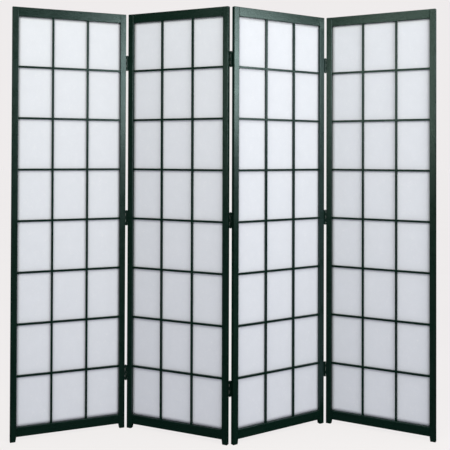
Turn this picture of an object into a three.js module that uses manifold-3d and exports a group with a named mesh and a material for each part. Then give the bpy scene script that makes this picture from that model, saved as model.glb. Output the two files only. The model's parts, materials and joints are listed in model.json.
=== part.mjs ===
// Folding room divider: four lattice-and-paper panels joined by butt hinges into a zigzag.
//
// Millimetres, +Z up. The front of the screen faces -Y and the origin is on the floor, under the
// middle of the standing screen. Each panel is drawn in its own coordinates: x runs from its left
// edge to its right edge, y from its front face to its back face, and z up from the floor.

import * as THREE from 'three';
import { mergeVertices } from 'three/addons/utils/BufferGeometryUtils.js';
import Module from 'manifold-3d';

const wasm = await Module();
wasm.setup();

// Driving dimensions
const height = 1780;
const panelWidth = 476;
const thickness = 18;
const stileWidth = 24.5;
const railHeight = 38.5;
const legHeight = 20;
const footTaper = 3.5;
const barWidth = 8.5;
const barDepth = 9;
const barRecess = 2.5;
const paneColumns = 3;
const paneRows = 8;

// How each panel stands: its turn about Z in degrees, from left to right.
const panelTurns = [22.2, -24.7, 33.1, -28];

// The side of the panels that carries the hinges of each junction, from left to right.
const hingeSides = ['front', 'back', 'front'];

// The height of each hinge's middle above the floor, for each junction. They were set by hand, so
// the middle junction's are a little off the others'.
const hingeHeights = [
  { top: 1569, middle: 902, bottom: 237 },
  { top: 1566, middle: 908, bottom: 224 },
  { top: 1569, middle: 902, bottom: 237 },
];

// Joinery
const clearance = 0.3;
const edgeRadius = 1.8;
const endRadius = 1.2;
const cornerSegments = 3;
const cutMargin = 1;
const railSetback = 0.5;
const tenonLength = 12;
const tenonThickness = 7;
const tenonShoulder = 7;
const stubLength = 3;
const paperThickness = 0.5;
const retainerWidth = 10;
const retainerDepth = 4;

// Hinges
const panelGap = 8;
const axisProud = 1.5;
const hingeHeight = 63.5;
const leafRecess = 1;
const leafThickness = 1.4;
const leafReach = 15.5;
const knuckleRadius = 3;
const knuckleCount = 5;
const boreRadius = 1.57;
const pinRadius = 1.5;
const pinTipRadius = 2.4;
const pinTipHeight = 1.2;
const bridgeInset = 1.1;
const bridgeDepth = 2;
const roundSides = 16;

// Derived places
const railBack = thickness - railSetback;
const topRailFloor = height - railHeight;
const bottomRailTop = legHeight + railHeight;
const openingLeft = stileWidth;
const openingRight = panelWidth - stileWidth;
const barBack = barRecess + barDepth;
const paperFront = barBack + clearance;
const retainerFront = paperFront + paperThickness + clearance;
const leafSetback = panelGap / 2 + leafRecess - clearance;

const blackLacquer = { color: 0x101a16, roughness: 0.35, metalness: 0 };
const whitePaper = { color: 0xe3e5ec, roughness: 0.9, metalness: 0 };
const blackenedSteel = { color: 0x161c1a, roughness: 0.45, metalness: 0.8 };

// Joins and cuts

function toSolid(geometry) {
  const bare = geometry.clone();
  bare.deleteAttribute('normal');
  bare.deleteAttribute('uv');
  const merged = mergeVertices(bare);
  return new wasm.Manifold(new wasm.Mesh({
    numProp: 3,
    vertProperties: new Float32Array(merged.attributes.position.array),
    triVerts: new Uint32Array(merged.index.array),
  }));
}

function toGeometry(solid) {
  const mesh = solid.getMesh();
  const geometry = new THREE.BufferGeometry();
  geometry.setAttribute('position', new THREE.BufferAttribute(mesh.vertProperties, 3));
  geometry.setIndex(new THREE.BufferAttribute(mesh.triVerts, 1));
  geometry.computeVertexNormals();
  return geometry;
}

function join(solids) {
  return solids.reduce((whole, solid) => whole.add(solid));
}

function block(span) {
  const [x0, x1] = span.x;
  const [y0, y1] = span.y;
  const [z0, z1] = span.z;
  const geometry = new THREE.BoxGeometry(x1 - x0, y1 - y0, z1 - z0);
  geometry.translate((x0 + x1) / 2, (y0 + y1) / 2, (z0 + z1) / 2);
  return toSolid(geometry);
}

function mortise(span) {
  const grow = ([low, high]) => [low - clearance, high + clearance];
  return block({ x: grow(span.x), y: grow(span.y), z: grow(span.z) });
}

function roundBar(radius, low, high) {
  const geometry = new THREE.CylinderGeometry(radius, radius, high - low, roundSides);
  geometry.rotateX(Math.PI / 2);
  geometry.translate(0, 0, (low + high) / 2);
  return toSolid(geometry);
}

function roundedRectangle(x0, x1, y0, y1, radius) {
  const shape = new THREE.Shape();
  shape.moveTo(x0 + radius, y0);
  shape.absarc(x1 - radius, y0 + radius, radius, -Math.PI / 2, 0);
  shape.absarc(x1 - radius, y1 - radius, radius, 0, Math.PI / 2);
  shape.absarc(x0 + radius, y1 - radius, radius, Math.PI / 2, Math.PI);
  shape.absarc(x0 + radius, y0 + radius, radius, Math.PI, 1.5 * Math.PI);
  return shape;
}

// Where the lattice bars and the tenons lie in a panel

function latticeColumns() {
  const paneWidth = (openingRight - openingLeft - (paneColumns - 1) * barWidth) / paneColumns;
  const spans = [];
  for (let column = 1; column < paneColumns; column += 1) {
    const left = openingLeft + column * paneWidth + (column - 1) * barWidth;
    spans.push({
      x: [left, left + barWidth],
      y: [barRecess, barBack],
      z: [bottomRailTop - stubLength, topRailFloor + stubLength],
    });
  }
  return spans;
}

function latticeRows() {
  const paneHeight = (topRailFloor - bottomRailTop - (paneRows - 1) * barWidth) / paneRows;
  const spans = [];
  for (let row = 1; row < paneRows; row += 1) {
    const low = bottomRailTop + row * paneHeight + (row - 1) * barWidth;
    spans.push({
      x: [openingLeft - stubLength, openingRight + stubLength],
      y: [barRecess, barBack],
      z: [low, low + barWidth],
    });
  }
  return spans;
}

function railTenon(railLow) {
  return {
    x: [openingLeft - tenonLength, openingRight + tenonLength],
    y: [(thickness - tenonThickness) / 2, (thickness + tenonThickness) / 2],
    z: [railLow + tenonShoulder, railLow + railHeight - tenonShoulder],
  };
}

// The pieces of one panel

// The recesses in a stile's outer edge that the leaves of a junction's hinges are let into.
function leafPockets(edge, junction) {
  const side = hingeSides[junction];
  if (!side) {
    return [];
  }
  const pocketReach = leafReach + clearance;
  const y = side === 'front' ? [-cutMargin, pocketReach] : [thickness - pocketReach, thickness + cutMargin];
  return Object.values(hingeHeights[junction]).map((centre) => block({
    x: [edge - leafRecess, edge + leafRecess],
    y,
    z: [centre - hingeHeight / 2 - clearance, centre + hingeHeight / 2 + clearance],
  }));
}

// The slice that narrows a stile's foot on its inner side, below the bottom rail.
function footSlice(inner, outward) {
  const slope = footTaper / legHeight;
  const lowest = -cutMargin;
  const slice = new THREE.Shape([
    new THREE.Vector2(inner, legHeight),
    new THREE.Vector2(inner + outward * footTaper, legHeight),
    new THREE.Vector2(inner + outward * footTaper, lowest),
    new THREE.Vector2(inner - outward * slope * (legHeight - lowest), lowest),
  ]);
  const geometry = new THREE.ExtrudeGeometry(slice, {
    depth: thickness + 2 * cutMargin,
    bevelEnabled: false,
  });
  geometry.rotateX(Math.PI / 2);
  geometry.translate(0, thickness + cutMargin, 0);
  return toSolid(geometry);
}

// A stile's outer edge faces away from the panel, and carries the hinges of one junction.
function makeStile(side, junction) {
  const onLeft = side === 'left';
  const left = onLeft ? 0 : openingRight;
  const outline = roundedRectangle(left, left + stileWidth, 0, thickness, edgeRadius);
  const post = new THREE.ExtrudeGeometry(outline, {
    depth: height - 2 * endRadius,
    bevelThickness: endRadius,
    bevelSize: endRadius,
    bevelOffset: -endRadius,
    bevelSegments: cornerSegments,
    curveSegments: cornerSegments,
  });
  post.translate(0, 0, endRadius);
  const sockets = [railTenon(legHeight), railTenon(topRailFloor), ...latticeRows()].map(mortise);
  const pockets = leafPockets(onLeft ? 0 : panelWidth, junction);
  const foot = onLeft ? footSlice(openingLeft, 1) : footSlice(openingRight, -1);
  return toGeometry(toSolid(post).subtract(join([...sockets, ...pockets, foot])));
}

function makeRail(low) {
  const outline = roundedRectangle(railSetback, railBack, low, low + railHeight, edgeRadius);
  const left = openingLeft + clearance;
  const right = openingRight - clearance;
  const body = new THREE.ExtrudeGeometry(outline, {
    depth: right - left,
    bevelEnabled: false,
    curveSegments: cornerSegments,
  });
  const alongX = new THREE.Matrix4().makeBasis(
    new THREE.Vector3(0, 1, 0),
    new THREE.Vector3(0, 0, 1),
    new THREE.Vector3(1, 0, 0),
  );
  body.applyMatrix4(alongX);
  body.translate(left, 0, 0);
  const sockets = latticeColumns().map(mortise);
  return toGeometry(toSolid(body).add(block(railTenon(low))).subtract(join(sockets)));
}

function makeLattice() {
  return toGeometry(join([...latticeColumns(), ...latticeRows()].map(block)));
}

function makePaper() {
  return toGeometry(block({
    x: [openingLeft + clearance, openingRight - clearance],
    y: [paperFront, paperFront + paperThickness],
    z: [bottomRailTop + clearance, topRailFloor - clearance],
  }));
}

function makeRetainer() {
  const outer = {
    x: [openingLeft + clearance, openingRight - clearance],
    y: [retainerFront, retainerFront + retainerDepth],
    z: [bottomRailTop + clearance, topRailFloor - clearance],
  };
  const hole = {
    x: [outer.x[0] + retainerWidth, outer.x[1] - retainerWidth],
    y: [outer.y[0] - clearance, outer.y[1] + clearance],
    z: [outer.z[0] + retainerWidth, outer.z[1] - retainerWidth],
  };
  return toGeometry(block(outer).subtract(block(hole)));
}

// The pieces of one hinge, drawn round its axis with z up from the hinge's lower end. The left
// leaf is let into the edge of the panel at -x, the right leaf into the edge of the panel at +x,
// and both reach back over those edges along +y.

function makeKnuckle(index) {
  const pitch = (hingeHeight + clearance) / knuckleCount;
  const low = index * pitch;
  const high = low + pitch - clearance;
  const bridge = block({
    x: [leafThickness - clearance - leafSetback, bridgeInset - knuckleRadius],
    y: [clearance, bridgeDepth],
    z: [low, high],
  });
  const tube = roundBar(knuckleRadius, low, high);
  const bore = roundBar(boreRadius, low - clearance, high + clearance);
  return tube.add(bridge).subtract(bore);
}

function makeLeftLeaf(knuckles) {
  const plate = block({
    x: [-leafSetback, leafThickness - leafSetback],
    y: [clearance, axisProud + leafReach],
    z: [0, hingeHeight],
  });
  return join([plate, ...knuckles.map(makeKnuckle)]);
}

function makeLeaf(side, knuckles) {
  const leaf = makeLeftLeaf(knuckles);
  return toGeometry(side === 'left' ? leaf : leaf.mirror([1, 0, 0]));
}

function makePin() {
  const tipBase = hingeHeight + clearance;
  const profile = [
    [0, -clearance - pinTipHeight],
    [pinTipRadius, -clearance - pinTipHeight],
    [pinTipRadius, -clearance],
    [pinRadius, -clearance],
    [pinRadius, tipBase],
    [pinTipRadius, tipBase],
    [pinTipRadius, tipBase + pinTipHeight],
    [0, tipBase + pinTipHeight],
  ];
  const geometry = new THREE.LatheGeometry(profile.map(([x, y]) => new THREE.Vector2(x, y)), roundSides);
  geometry.rotateX(Math.PI / 2);
  return toGeometry(toSolid(geometry));
}

// Assembly

function addMesh(parent, name, geometry, look) {
  const mesh = new THREE.Mesh(geometry, new THREE.MeshStandardMaterial(look));
  mesh.name = name;
  parent.add(mesh);
}

// Junction 0 is between panels 1 and 2.
function makePanel(number) {
  const panel = new THREE.Group();
  const piece = (name, geometry, look) => addMesh(panel, `panel_${number}_${name}`, geometry, look);
  piece('left_stile', makeStile('left', number - 2), blackLacquer);
  piece('right_stile', makeStile('right', number - 1), blackLacquer);
  piece('top_rail', makeRail(topRailFloor), blackLacquer);
  piece('bottom_rail', makeRail(legHeight), blackLacquer);
  piece('lattice', makeLattice(), blackLacquer);
  piece('paper', makePaper(), whitePaper);
  piece('paper_retainer', makeRetainer(), blackLacquer);
  return panel;
}

// A hinge's axis stands in the gap, just proud of the face it is on.
function axisDepth(side) {
  return side === 'front' ? -axisProud : thickness + axisProud;
}

function placePanel(panel, turn, side, axis) {
  panel.rotation.z = THREE.MathUtils.degToRad(turn);
  const axisInPanel = new THREE.Vector3(-panelGap / 2, axisDepth(side), 0);
  panel.position.copy(axis).sub(axisInPanel.applyEuler(panel.rotation));
  panel.updateMatrixWorld();
}

function rightHandAxis(panel, side) {
  return panel.localToWorld(new THREE.Vector3(panelWidth + panelGap / 2, axisDepth(side), 0));
}

// Each leaf is fixed to its own panel, so each panel's group holds the leaves and pins it carries.
function addHinges(panel, junction, side, panelEdge) {
  const onLeft = panelEdge === 'left';
  const originX = onLeft ? -panelGap / 2 : panelWidth + panelGap / 2;
  for (const [level, centre] of Object.entries(hingeHeights[junction - 1])) {
    const hinge = new THREE.Group();
    hinge.position.set(originX, axisDepth(side), centre - hingeHeight / 2);
    // The back of a panel is its front turned half round, so there the leaves change sides.
    const turned = side === 'back';
    hinge.rotation.z = turned ? Math.PI : 0;
    const leafSide = onLeft === turned ? 'left' : 'right';
    const leafKnuckles = onLeft ? [1, 3] : [0, 2, 4];
    const leafName = onLeft ? 'right_leaf' : 'left_leaf';
    addMesh(hinge, `hinge_${junction}_${level}_${leafName}`, makeLeaf(leafSide, leafKnuckles), blackenedSteel);
    if (!onLeft) {
      addMesh(hinge, `hinge_${junction}_${level}_pin`, makePin(), blackenedSteel);
    }
    panel.add(hinge);
  }
}

function buildScreen() {
  const screen = new THREE.Group();
  let axis = new THREE.Vector3();
  panelTurns.forEach((turn, index) => {
    const panel = makePanel(index + 1);
    const leftSide = hingeSides[index - 1];
    const rightSide = hingeSides[index];
    placePanel(panel, turn, leftSide ?? rightSide, axis);
    if (leftSide) {
      addHinges(panel, index, leftSide, 'left');
    }
    if (rightSide) {
      addHinges(panel, index + 1, rightSide, 'right');
      axis = rightHandAxis(panel, rightSide);
    }
    screen.add(panel);
  });
  const middle = new THREE.Box3().setFromObject(screen, true).getCenter(new THREE.Vector3());
  screen.position.set(-middle.x, -middle.y, 0);
  return screen;
}

const screen = buildScreen();

export default screen;
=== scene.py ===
import json
import math

import bmesh
import bpy
from mathutils import Matrix, Vector, noise

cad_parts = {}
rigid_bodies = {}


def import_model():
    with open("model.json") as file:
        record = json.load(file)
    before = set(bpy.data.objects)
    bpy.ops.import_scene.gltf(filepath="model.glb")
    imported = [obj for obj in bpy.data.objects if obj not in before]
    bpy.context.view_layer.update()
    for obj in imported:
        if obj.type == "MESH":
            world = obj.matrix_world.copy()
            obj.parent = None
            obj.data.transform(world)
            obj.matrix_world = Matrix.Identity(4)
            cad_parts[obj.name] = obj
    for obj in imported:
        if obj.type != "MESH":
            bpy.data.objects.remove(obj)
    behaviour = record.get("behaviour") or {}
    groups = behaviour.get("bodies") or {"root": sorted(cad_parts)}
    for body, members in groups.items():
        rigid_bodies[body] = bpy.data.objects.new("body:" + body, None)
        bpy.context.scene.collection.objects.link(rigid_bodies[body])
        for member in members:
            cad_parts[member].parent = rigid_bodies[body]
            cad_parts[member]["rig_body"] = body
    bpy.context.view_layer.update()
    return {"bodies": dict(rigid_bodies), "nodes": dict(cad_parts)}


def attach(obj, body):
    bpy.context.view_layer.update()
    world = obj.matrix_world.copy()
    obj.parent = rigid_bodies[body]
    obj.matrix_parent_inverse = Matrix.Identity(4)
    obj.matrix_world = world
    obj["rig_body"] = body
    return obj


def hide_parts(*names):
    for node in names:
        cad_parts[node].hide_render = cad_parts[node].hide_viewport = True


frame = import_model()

# Looks of the folding room divider: black lacquered frames and lattices, white paper behind them,
# black butt hinges with their screws, a pale studio floor and soft lights. Metres, +Z up, and the
# front of the screen faces -Y, as in the CAD.

# Camera
CAMERA_PLACE = Vector((0.0177, -3.2165, 1.1728))
CAMERA_PITCH = 0.0112
CAMERA_ROLL = -0.0031
IMAGE_PIXELS = 450
FOCAL_PIXELS = 758.5
SENSOR_WIDTH = 36.0
SHIFT = (-0.0085, -0.1738)

# Lattice and retainer, as in the CAD
PANE_COLUMNS = 3
PANE_ROWS = 8
BAR_WIDTH = 0.0085
RETAINER_WIDTH = 0.010

# The paper's mesh, how slack it is between the bars, and its two sizes of waves
PAPER_THICKNESS = 0.0004
PAPER_GAP = 0.0001
PAPER_STEP = 0.0135
PANE_SLACK = 0.0007
BROAD_WAVES_PER_METRE = 5
RIPPLE_HEIGHT = 0.00025
RIPPLE_LENGTH = 0.045

# How far apart in the noise two neighbouring panels' waves and ripples are taken
BROAD_STRIDE = 7.3
RIPPLE_STRIDE = 3.1

# Softened edges
WELD_DISTANCE = 0.00001
FLAT_ANGLE = math.radians(1)
CREASE_ANGLE = math.radians(35)
WOOD_BEVEL = 0.0005
STEEL_BEVEL = 0.00015

# Screws in the hinge leaves
LEAF_THICKNESS = 0.0014
SCREW_RADIUS = 0.0024
SCREW_HEIGHT = 0.0008
SCREW_SIDES = 24
SLOT_LENGTH = 0.0028
SLOT_WIDTH = 0.0006
SLOT_DEPTH = 0.0005
SCREW_HEIGHTS = (0.18, 0.5, 0.82)
SCREW_INSETS = (0.0048, 0.0085, 0.0048)
SLOT_TURN_PER_METRE = 97.0

# A screw head's rings: share of its radius and share of its height
SCREW_PROFILE = ((1.0, 0.0), (0.97, 0.30), (0.86, 0.62), (0.72, 0.85))

# Colours, linear
BLACK_LACQUER = (0.0010, 0.0070, 0.0044)
WORN_LACQUER = (0.020, 0.028, 0.024)
PAPER_FRONT = (0.488, 0.517, 0.602)
PAPER_GLOW = (0.600, 0.622, 0.700)
FIBRE_WHITE = (0.700, 0.710, 0.760)
BLACK_STEEL = (0.001, 0.008, 0.005)
BARE_STEEL = (0.030, 0.050, 0.045)
COOL_SHEEN = (0.65, 0.90, 1.0)
STUDIO = (0.863, 0.839, 0.839)
WARM_WHITE = (1.0, 0.985, 0.86)
LAMP_WHITE = (1.0, 0.98, 0.76)

# Refractive indices: thick lacquer on the frames, thin and duller on the bars, enamel on the hinges
THICK_COAT = 1.56
THIN_COAT = 1.38
ENAMEL = 1.4

# Noise scales, per metre
PORE_SCALE = 1400
FIGURE_SCALE = 190
SMUDGE_SCALE = 9
SPECKLE_SCALE = 500
CLOUD_SCALE = 22
TOOTH_SCALE = 900
RUB_SCALE = 160
MOTTLE_SCALE = 700
FLOOR_SCALE = 1.5

# Lacquered wood: how far the grain is drawn out, the width of the worn edges, and the reliefs' depths
GRAIN_STRETCH = 0.03
FIGURE_CONTRAST = 1.7
WORN_REACH = 0.0012
SATIN_ROUGHNESS = (0.23, 0.31)
PORE_DEPTH = 0.00005
FIGURE_DEPTH = 0.0002

# Paper: the share of its light that comes through it, and its relief's depth
PAPER_TRANSLUCENCE = 0.10
TOOTH_DEPTH = 0.00006

# Noise scale and thread width of each set of fibres in the paper
FIBRE_SETS = ((34, 0.010), (55, 0.012), (80, 0.014))

# Enamelled steel
ENAMEL_DEPTH = 0.00005

# Studio
FLOOR_REACH = 60.0
FLOOR_SIDES = 96
FLOOR_GLOW = 0.92

LIGHTS = (
    # name, place, aimed at, width, height, watts, colour
    ("key_softbox", (1.95, -1.74, 1.84), (0.00, 0.00, 1.60), 2.1, 0.9, 61.0, WARM_WHITE),
    ("high_softbox", (-0.60, -2.40, 3.10), (0.00, 0.00, 1.50), 1.0, 0.8, 46.0, LAMP_WHITE),
    ("side_softbox", (-1.50, -2.25, 1.70), (0.00, 0.00, 1.50), 0.5, 1.0, 11.0, LAMP_WHITE),
)


def node_points(name):
    """The corners of a CAD node's mesh, in the CAD's coordinates."""
    return [vertex.co.copy() for vertex in frame["nodes"][name].data.vertices]


class Panel:
    """A panel's own directions: x from its left edge, y from its front face, z up from the floor."""

    def __init__(self, body):
        different = {point.to_tuple(5) for point in node_points(f"{body}_paper")}
        corners = [Vector(corner) for corner in sorted(different)]
        half = len(corners) // 2
        across = sum(corners[half:], Vector()) - sum(corners[:half], Vector())
        across.z = 0
        left = node_points(f"{body}_left_stile")
        self.body = body
        self.across = across.normalized()
        self.back = Vector((-self.across.y, self.across.x, 0))
        self.turn = math.atan2(self.across.y, self.across.x)
        self.left = min(point.dot(self.across) for point in left)
        self.front = min(point.dot(self.back) for point in left)

    def place(self, x, y, z):
        """A point of the panel, in the CAD's coordinates."""
        return self.across * (self.left + x) + self.back * (self.front + y) + Vector((0, 0, z))

    def span(self, node):
        """Lowest and highest corner of a CAD node in the panel's own directions."""
        points = [
            (p.dot(self.across) - self.left, p.dot(self.back) - self.front, p.z)
            for p in node_points(node)
        ]
        low, high = (Vector(map(pick, zip(*points))) for pick in (min, max))
        return low, high

    def opening(self):
        """Lowest and highest corner, as (x, z), of the opening between the stiles and rails."""
        low = (self.span(f"{self.body}_left_stile")[1].x, self.span(f"{self.body}_bottom_rail")[1].z)
        high = (self.span(f"{self.body}_right_stile")[0].x, self.span(f"{self.body}_top_rail")[0].z)
        return low, high


# Shader nodes


class Shader:
    """Builds one material's nodes. An input is either a number, a colour or another node's output."""

    def __init__(self, name):
        self.material = bpy.data.materials.new(name)
        self.material.use_nodes = True
        self.tree = self.material.node_tree
        self.tree.nodes.clear()

    def add(self, kind, inputs=None, **settings):
        """Adds a node, links or sets each of its inputs, and returns it."""
        node = self.tree.nodes.new(kind)
        for key, value in settings.items():
            setattr(node, key, value)
        for key, value in (inputs or {}).items():
            if isinstance(value, bpy.types.NodeSocket):
                self.tree.links.new(value, node.inputs[key])
            elif isinstance(value, tuple) and len(value) == 3 and node.inputs[key].type == "RGBA":
                node.inputs[key].default_value = (*value, 1)
            else:
                node.inputs[key].default_value = value
        return node

    def math(self, operation, first, second=0.0, third=0.0):
        inputs = {0: first, 1: second, 2: third}
        return self.add("ShaderNodeMath", inputs, operation=operation).outputs[0]

    def between(self, value, low, high, out_low, out_high):
        """value from low to high becomes out_low to out_high, and stays inside them."""
        inputs = {"Value": value, 1: low, 2: high, 3: out_low, 4: out_high}
        return self.add("ShaderNodeMapRange", inputs).outputs["Result"]

    def mix(self, share, first, second):
        """A blend of two numbers."""
        return self.add("ShaderNodeMix", {0: share, 2: first, 3: second}).outputs[0]

    def mix_colour(self, share, first, second):
        inputs = {0: share, 6: first, 7: second}
        return self.add("ShaderNodeMix", inputs, data_type="RGBA").outputs[2]

    def vector(self, x, y, z):
        return self.add("ShaderNodeCombineXYZ", {0: x, 1: y, 2: z}).outputs[0]

    def noise(self, vector, scale, detail=2.0, roughness=0.5, distortion=0.0):
        inputs = {
            "Vector": vector,
            "Scale": scale,
            "Detail": detail,
            "Roughness": roughness,
            "Distortion": distortion,
        }
        return self.add("ShaderNodeTexNoise", inputs).outputs[0]

    def panel_coordinates(self, panel):
        """The surface point in the panel's own directions, in metres."""
        point = self.add("ShaderNodeTexCoord").outputs["Object"]
        inputs = {
            "Vector": point,
            "Location": (-panel.left, -panel.front, 0),
            "Rotation": (0, 0, -panel.turn),
        }
        turned = self.add("ShaderNodeMapping", inputs, vector_type="POINT").outputs[0]
        return turned, self.add("ShaderNodeSeparateXYZ", {0: turned}).outputs

    def bump(self, height, strength, distance, normal=None):
        inputs = {"Height": height, "Strength": strength, "Distance": distance}
        if normal:
            inputs["Normal"] = normal
        return self.add("ShaderNodeBump", inputs).outputs[0]

    def finish(self, surface):
        self.add("ShaderNodeOutputMaterial", {"Surface": surface})
        return self.material


def scaled(colour, factor):
    return tuple(factor * channel for channel in colour)


def near_edge(shader, value, low, high, reach):
    """1 where value is at low or high, falling to 0 at reach inside them."""
    from_middle = shader.math("ABSOLUTE", shader.math("SUBTRACT", value, (low + high) / 2))
    half = (high - low) / 2
    return shader.between(from_middle, half - reach, half, 0.0, 1.0)


def upright_share(shader, x, spans):
    """1 inside the given spans of x, where a bar stands upright, and 0 elsewhere."""
    share = None
    for low, high in spans:
        inside = shader.math("COMPARE", x, (low + high) / 2, (high - low) / 2)
        share = inside if share is None else shader.math("MAXIMUM", share, inside)
    return share


def lacquered_wood(panel, node, uprights, coat):
    """Black satin lacquer over open-pored wood, its grain running along each member."""
    shader = Shader(f"lacquer_{node}")
    low, high = panel.span(node)
    _, (x, y, z) = shader.panel_coordinates(panel)
    if uprights == "all":
        along, over = z, x
    elif uprights == "none":
        along, over = x, z
    else:
        share = upright_share(shader, x, uprights)
        along, over = shader.mix(share, x, z), shader.mix(share, z, x)
    # Each member starts at its own place in the grain.
    offset = low.x * 3.1 + low.z * 1.7
    grain = shader.vector(over, y, shader.math("MULTIPLY_ADD", along, GRAIN_STRETCH, offset))
    pores = shader.between(shader.noise(grain, PORE_SCALE, 3, 0.6), 0.42, 0.60, 0.0, 1.0)
    figure = shader.noise(grain, FIGURE_SCALE, 3, 0.55, 0.6)
    smudges = shader.noise(shader.vector(over, y, along), SMUDGE_SCALE, 3, 0.6)
    speckle = shader.noise(shader.vector(over, y, along), SPECKLE_SCALE, 2, 0.5)
    edge_over = near_edge(shader, over, *over_span(low, high, uprights), WORN_REACH)
    edge_deep = near_edge(shader, y, low.y, high.y, WORN_REACH)
    worn = shader.math("MULTIPLY", edge_over, edge_deep)
    worn = shader.math("MULTIPLY", worn, shader.between(speckle, 0.45, 0.7, 0.0, 0.8))
    figured_black = scaled(BLACK_LACQUER, FIGURE_CONTRAST)
    dark = shader.mix_colour(shader.between(figure, 0.3, 0.75, 0.0, 1.0), BLACK_LACQUER, figured_black)
    colour = shader.mix_colour(worn, dark, WORN_LACQUER)
    roughness = shader.between(smudges, 0.3, 0.7, *SATIN_ROUGHNESS)
    roughness = shader.math("MULTIPLY_ADD", pores, 0.05, roughness)
    roughness = shader.math("MULTIPLY_ADD", worn, 0.2, roughness)
    relief = shader.bump(pores, 0.25, PORE_DEPTH)
    relief = shader.bump(figure, 0.20, FIGURE_DEPTH, relief)
    surface = shader.add("ShaderNodeBsdfPrincipled", {
        "Base Color": colour,
        "Roughness": roughness,
        "IOR": coat,
        "Specular Tint": COOL_SHEEN,
        "Normal": relief,
    })
    return shader.finish(surface.outputs[0])


def over_span(low, high, uprights):
    """The edges that wear: an upright's left and right, or the bottom and top of anything else."""
    return (low.x, high.x) if uprights == "all" else (low.z, high.z)


def paper_fibres(shader, point):
    """1 along the paper's long fibres, which show as thin broken threads, and 0 between them."""
    fibres = None
    for scale, width in FIBRE_SETS:
        offset = {0: point, 1: (scale, 0.31 * scale, 0)}
        shifted = shader.add("ShaderNodeVectorMath", offset, operation="ADD").outputs[0]
        wander = shader.noise(shifted, scale, 2, 0.5, 0.4)
        ridge = shader.math("ABSOLUTE", shader.math("SUBTRACT", wander, 0.5))
        thread = shader.between(ridge, 0.0, width, 1.0, 0.0)
        broken = shader.between(shader.noise(shifted, scale * 0.9, 1), 0.5, 0.62, 0.0, 1.0)
        thread = shader.math("MULTIPLY", thread, broken)
        fibres = thread if fibres is None else shader.math("MAXIMUM", fibres, thread)
    return fibres


def shoji_paper(panel):
    """White fibre paper that lets some light through."""
    shader = Shader(f"paper_{panel.body}")
    point, _ = shader.panel_coordinates(panel)
    clouds = shader.between(shader.noise(point, CLOUD_SCALE, 4, 0.6), 0.3, 0.7, 0.0, 1.0)
    tooth = shader.noise(point, TOOTH_SCALE, 3, 0.6)
    fibres = paper_fibres(shader, point)
    plain = shader.mix_colour(clouds, scaled(PAPER_FRONT, 0.975), PAPER_FRONT)
    colour = shader.mix_colour(shader.math("MULTIPLY", fibres, 0.28), plain, FIBRE_WHITE)
    glow = shader.mix_colour(shader.math("MULTIPLY", fibres, 0.45), PAPER_GLOW, scaled(PAPER_GLOW, 0.8))
    relief = shader.bump(shader.math("MULTIPLY_ADD", fibres, 0.6, tooth), 0.35, TOOTH_DEPTH)
    front = shader.add("ShaderNodeBsdfPrincipled", {
        "Base Color": colour,
        "Roughness": shader.between(tooth, 0.3, 0.7, 0.72, 0.88),
        "Specular IOR Level": 0.25,
        "Normal": relief,
    })
    through = shader.add("ShaderNodeBsdfTranslucent", {"Color": glow, "Normal": relief})
    layers = {0: PAPER_TRANSLUCENCE, 1: front.outputs[0], 2: through.outputs[0]}
    return shader.finish(shader.add("ShaderNodeMixShader", layers).outputs[0])


def blackened_steel(name):
    """Black enamel on steel, a little rubbed."""
    shader = Shader(name)
    point = shader.add("ShaderNodeTexCoord").outputs["Object"]
    rubbed = shader.between(shader.noise(point, RUB_SCALE, 4, 0.65), 0.60, 0.74, 0.0, 0.25)
    mottle = shader.noise(point, MOTTLE_SCALE, 2, 0.5)
    colour = shader.mix_colour(rubbed, BLACK_STEEL, BARE_STEEL)
    roughness = shader.between(mottle, 0.3, 0.7, 0.30, 0.46)
    surface = shader.add("ShaderNodeBsdfPrincipled", {
        "Base Color": colour,
        "Roughness": roughness,
        "IOR": ENAMEL,
        "Specular Tint": COOL_SHEEN,
        "Normal": shader.bump(mottle, 0.25, ENAMEL_DEPTH),
    })
    return shader.finish(surface.outputs[0])


# Softened edges on the CAD pieces


def make_join_faces():
    """Node group that joins a mesh's loose faces and drops the normals it was imported with."""
    group = bpy.data.node_groups.new("join_faces", "GeometryNodeTree")
    group.interface.new_socket("Mesh", in_out="INPUT", socket_type="NodeSocketGeometry")
    group.interface.new_socket("Mesh", in_out="OUTPUT", socket_type="NodeSocketGeometry")
    start = group.nodes.new("NodeGroupInput")
    weld = group.nodes.new("GeometryNodeMergeByDistance")
    weld.inputs["Distance"].default_value = WELD_DISTANCE
    bare = group.nodes.new("GeometryNodeRemoveAttribute")
    bare.inputs["Name"].default_value = "custom_normal"
    end = group.nodes.new("NodeGroupOutput")
    group.links.new(start.outputs[0], weld.inputs[0])
    group.links.new(weld.outputs[0], bare.inputs[0])
    group.links.new(bare.outputs[0], end.inputs[0])
    return group


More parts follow.
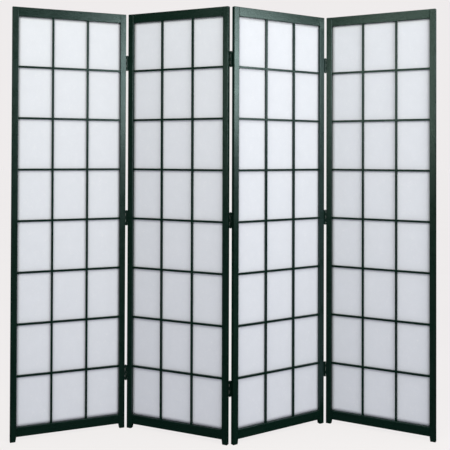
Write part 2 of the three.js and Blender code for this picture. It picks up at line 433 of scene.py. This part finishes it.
def make_smooth_by_angle():
    """Node group that shades a mesh smooth, except across edges sharper than the crease angle."""
    group = bpy.data.node_groups.new("smooth_by_angle", "GeometryNodeTree")
    group.interface.new_socket("Mesh", in_out="INPUT", socket_type="NodeSocketGeometry")
    group.interface.new_socket("Mesh", in_out="OUTPUT", socket_type="NodeSocketGeometry")
    start = group.nodes.new("NodeGroupInput")
    faces = group.nodes.new("GeometryNodeSetShadeSmooth")
    faces.domain = "FACE"
    faces.inputs["Shade Smooth"].default_value = True
    angle = group.nodes.new("GeometryNodeInputMeshEdgeAngle")
    gentle = group.nodes.new("FunctionNodeCompare")
    gentle.data_type = "FLOAT"
    gentle.operation = "LESS_THAN"
    gentle.inputs[1].default_value = CREASE_ANGLE
    edges = group.nodes.new("GeometryNodeSetShadeSmooth")
    edges.domain = "EDGE"
    end = group.nodes.new("NodeGroupOutput")
    group.links.new(start.outputs[0], faces.inputs[0])
    group.links.new(faces.outputs[0], edges.inputs[0])
    group.links.new(angle.outputs["Unsigned Angle"], gentle.inputs[0])
    group.links.new(gentle.outputs[0], edges.inputs["Shade Smooth"])
    group.links.new(edges.outputs[0], end.inputs[0])
    return group


def soften(piece, width, join_faces, smooth):
    """Rounds a CAD piece's sharp edges a little, without changing its own mesh."""
    piece.modifiers.new("join_faces", "NODES").node_group = join_faces
    flatten = piece.modifiers.new("merge_flat_faces", "DECIMATE")
    flatten.decimate_type = "DISSOLVE"
    flatten.angle_limit = FLAT_ANGLE
    bevel = piece.modifiers.new("soft_edges", "BEVEL")
    bevel.width = width
    bevel.segments = 2
    bevel.limit_method = "ANGLE"
    bevel.angle_limit = CREASE_ANGLE
    piece.modifiers.new("smooth", "NODES").node_group = smooth
    flat_normals = piece.modifiers.new("flat_normals", "WEIGHTED_NORMAL")
    flat_normals.keep_sharp = True


def add_object(name, mesh_data):
    made = bpy.data.objects.new(name, mesh_data)
    bpy.context.scene.collection.objects.link(made)
    return made


def finish_mesh(name, bm, smooth=True):
    bmesh.ops.recalc_face_normals(bm, faces=bm.faces)
    for face in bm.faces:
        face.smooth = smooth
    data = bpy.data.meshes.new(name)
    bm.to_mesh(data)
    bm.free()
    return data


def close_loop(items):
    """Each item with the next one, and the last with the first."""
    return zip(items, items[1:] + items[:1])


# Paper


def pane_slack(x, z, opening):
    """0 along every bar, which the paper is glued to, and 1 in the middle of each pane."""
    (left, bottom), (right, top) = opening
    share = 1.0
    for value, low, high, count in ((x, left, right, PANE_COLUMNS), (z, bottom, top, PANE_ROWS)):
        pitch = (high - low + BAR_WIDTH) / count
        inside = ((value - low) % pitch) / (pitch - BAR_WIDTH)
        share *= math.sin(math.pi * min(max(inside, 0.0), 1.0))
    return math.sqrt(max(share, 0.0))


def paper_depth(number, x, z, opening):
    """How far the paper of a numbered panel stands behind the bars at a point of the panel."""
    waves_x, waves_z = x * BROAD_WAVES_PER_METRE, z * BROAD_WAVES_PER_METRE
    broad = noise.noise(Vector((waves_x, waves_z, number * BROAD_STRIDE)))
    ripple = noise.noise(Vector((x, z, number * RIPPLE_STRIDE)) / RIPPLE_LENGTH)
    depth = PANE_SLACK * (0.6 + 0.6 * broad) + RIPPLE_HEIGHT * (0.5 + ripple)
    return max(pane_slack(x, z, opening) * depth, 0.0)


def paper_face(bm, panel, number, columns, rows, behind):
    """Rows of points over one face of a panel's paper, some way behind its front face."""
    low, high = panel.span(f"{panel.body}_paper")
    bars_back = panel.span(f"{panel.body}_lattice")[1].y
    opening = panel.opening()
    points = []
    for row in range(rows + 1):
        z = low.z + (high.z - low.z) * row / rows
        line = []
        for column in range(columns + 1):
            x = low.x + (high.x - low.x) * column / columns
            y = bars_back + PAPER_GAP + paper_depth(number, x, z, opening) + behind
            line.append(bm.verts.new(panel.place(x, y, z)))
        points.append(line)
    return points


def make_paper(panel, number):
    """One sheet of paper, glued to the back of a panel's lattice."""
    low, high = panel.span(f"{panel.body}_paper")
    columns = round((high.x - low.x) / PAPER_STEP)
    rows = round((high.z - low.z) / PAPER_STEP)
    bm = bmesh.new()
    front = paper_face(bm, panel, number, columns, rows, 0.0)
    back = paper_face(bm, panel, number, columns, rows, PAPER_THICKNESS)
    for row in range(rows):
        for column in range(columns):
            for side in (front, back):
                bm.faces.new((side[row][column], side[row][column + 1],
                              side[row + 1][column + 1], side[row + 1][column]))
    rim = [(row, 0) for row in range(rows)]
    rim += [(rows, column) for column in range(columns)]
    rim += [(row, columns) for row in range(rows, 0, -1)]
    rim += [(0, column) for column in range(columns, 0, -1)]
    for (row, column), (next_row, next_column) in close_loop(rim):
        bm.faces.new((front[row][column], front[next_row][next_column],
                      back[next_row][next_column], back[row][column]))
    name = f"{panel.body}_paper_sheet"
    sheet = add_object(name, finish_mesh(name, bm))
    sheet.data.materials.append(shoji_paper(panel))
    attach(sheet, panel.body)
    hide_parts(f"{panel.body}_paper")


# Screws


def ring(bm, radius, height, matrix):
    points = []
    for step in range(SCREW_SIDES):
        angle = 2 * math.pi * step / SCREW_SIDES
        point = Vector((radius * math.cos(angle), radius * math.sin(angle), height))
        points.append(bm.verts.new(matrix @ point))
    return points


def cross_outline():
    """Corners of the cross slot, in order round it."""
    long, short = SLOT_LENGTH / 2, SLOT_WIDTH / 2
    quarter = [(long, -short), (long, short), (short, short)]
    corners = []
    for turn in range(4):
        cos, sin = math.cos(turn * math.pi / 2), math.sin(turn * math.pi / 2)
        corners += [(cos * x - sin * y, sin * x + cos * y) for x, y in quarter]
    return corners


def add_screw_head(bm, matrix):
    """A raised screw head with a cross slot, its axis along the matrix's z."""
    rings = [ring(bm, SCREW_RADIUS * r, SCREW_HEIGHT * h, matrix) for r, h in SCREW_PROFILE]
    for lower, upper in zip(rings, rings[1:]):
        for (a, b), (c, d) in zip(close_loop(lower), close_loop(upper)):
            bm.faces.new((a, b, d, c))
    bm.faces.new(rings[0][::-1])
    top = [bm.verts.new(matrix @ Vector((x, y, SCREW_HEIGHT))) for x, y in cross_outline()]
    floor = [bm.verts.new(matrix @ Vector((x, y, SCREW_HEIGHT - SLOT_DEPTH))) for x, y in cross_outline()]
    for (a, b), (c, d) in zip(close_loop(top), close_loop(floor)):
        bm.faces.new((a, c, d, b))
    bm.faces.new(floor)
    rim_edges = [bm.edges.get((a, b)) for a, b in close_loop(rings[-1])]
    slot_edges = [bm.edges.get((a, b)) for a, b in close_loop(top)]
    bmesh.ops.triangle_fill(bm, use_beauty=True, edges=rim_edges + slot_edges)


def make_screws(panel, leaf, steel):
    """The three screws that hold one hinge leaf to its panel's edge."""
    low, high = panel.span(leaf)
    on_right_edge = low.x > 0
    x = low.x + LEAF_THICKNESS if on_right_edge else high.x - LEAF_THICKNESS
    outward = panel.across if on_right_edge else -panel.across
    facing = outward.to_track_quat("Z", "Y").to_matrix().to_4x4()
    barrel_in_front = low.y < 0
    bm = bmesh.new()
    for share, inset in zip(SCREW_HEIGHTS, SCREW_INSETS):
        y = high.y - inset if barrel_in_front else low.y + inset
        z = low.z + (high.z - low.z) * share
        spin = Matrix.Rotation(z * SLOT_TURN_PER_METRE, 4, "Z")
        add_screw_head(bm, Matrix.Translation(panel.place(x, y, z)) @ facing @ spin)
    name = f"{leaf}_screws"
    screws = add_object(name, finish_mesh(name, bm, smooth=False))
    screws.data.materials.append(steel)
    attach(screws, panel.body)


# Studio


def make_camera():
    data = bpy.data.cameras.new("camera")
    data.sensor_width = SENSOR_WIDTH
    data.lens = FOCAL_PIXELS / IMAGE_PIXELS * SENSOR_WIDTH
    data.shift_x, data.shift_y = SHIFT
    camera = add_object("camera", data)
    camera.location = CAMERA_PLACE
    camera.rotation_euler = (math.pi / 2 + CAMERA_PITCH, CAMERA_ROLL, 0)
    bpy.context.scene.camera = camera


def make_lights():
    for name, place, target, width, height, watts, colour in LIGHTS:
        data = bpy.data.lights.new(name, "AREA")
        data.shape = "RECTANGLE"
        data.size, data.size_y = width, height
        data.energy = watts
        data.color = colour
        light = add_object(name, data)
        light.location = place
        light.rotation_euler = (Vector(target) - Vector(place)).to_track_quat("-Z", "Y").to_euler()
        light.visible_camera = False


def make_floor():
    """A wide pale floor that fades into the background, with soft shadows on it."""
    bm = bmesh.new()
    bmesh.ops.create_circle(bm, cap_ends=True, segments=FLOOR_SIDES, radius=FLOOR_REACH)
    floor = add_object("floor", finish_mesh("floor", bm))
    shader = Shader("floor")
    point = shader.add("ShaderNodeTexCoord").outputs["Object"]
    mottle = shader.between(shader.noise(point, FLOOR_SCALE, 3), 0.2, 0.8, 0.985, 1.0)
    factors = {0: STUDIO, 1: shader.vector(mottle, mottle, mottle)}
    tinted = shader.add("ShaderNodeVectorMath", factors, operation="MULTIPLY").outputs[0]
    diffuse = shader.add("ShaderNodeBsdfDiffuse", {"Color": (1.0, 1.0, 1.0)})
    glow = shader.add("ShaderNodeEmission", {"Color": tinted})
    layers = {0: FLOOR_GLOW, 1: diffuse.outputs[0], 2: glow.outputs[0]}
    surface = shader.add("ShaderNodeMixShader", layers).outputs[0]
    floor.data.materials.append(shader.finish(surface))
    floor.visible_glossy = False


def make_world():
    world = bpy.data.worlds.new("studio")
    world.use_nodes = True
    background = world.node_tree.nodes["Background"]
    background.inputs["Color"].default_value = (*STUDIO, 1)
    world.cycles_visibility.glossy = False
    bpy.context.scene.world = world
    bpy.context.scene.view_settings.view_transform = "Standard"


# Putting it together


def dress_wood(panel, join_faces, smooth):
    """Lacquer and soft edges for a panel's stiles, rails, lattice and retainer."""
    body = panel.body
    (left, _), (right, _) = panel.opening()
    pitch = (right - left + BAR_WIDTH) / PANE_COLUMNS
    bars = [(left + pitch * n - BAR_WIDTH, left + pitch * n) for n in range(1, PANE_COLUMNS)]
    low, high = panel.span(f"{body}_paper_retainer")
    sides = [(low.x, low.x + RETAINER_WIDTH), (high.x - RETAINER_WIDTH, high.x)]
    for part, uprights, coat in (
        ("left_stile", "all", THICK_COAT),
        ("right_stile", "all", THICK_COAT),
        ("top_rail", "none", THICK_COAT),
        ("bottom_rail", "none", THICK_COAT),
        ("lattice", bars, THIN_COAT),
        ("paper_retainer", sides, THIN_COAT),
    ):
        piece = frame["nodes"][f"{body}_{part}"]
        piece.material_slots[0].material = lacquered_wood(panel, piece.name, uprights, coat)
        soften(piece, WOOD_BEVEL, join_faces, smooth)


make_camera()
make_world()
make_lights()
make_floor()

panels = [Panel(body) for body in sorted(frame["bodies"])]
body_panel = {panel.body: panel for panel in panels}
join_faces = make_join_faces()
smooth = make_smooth_by_angle()
steel = blackened_steel("blackened_steel")

for number, panel in enumerate(panels):
    dress_wood(panel, join_faces, smooth)
    make_paper(panel, number)

for name, piece in frame["nodes"].items():
    if name.startswith("hinge_"):
        piece.material_slots[0].material = steel
        soften(piece, STEEL_BEVEL, join_faces, smooth)
        if name.endswith("_leaf"):
            make_screws(body_panel[piece["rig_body"]], name, steel)
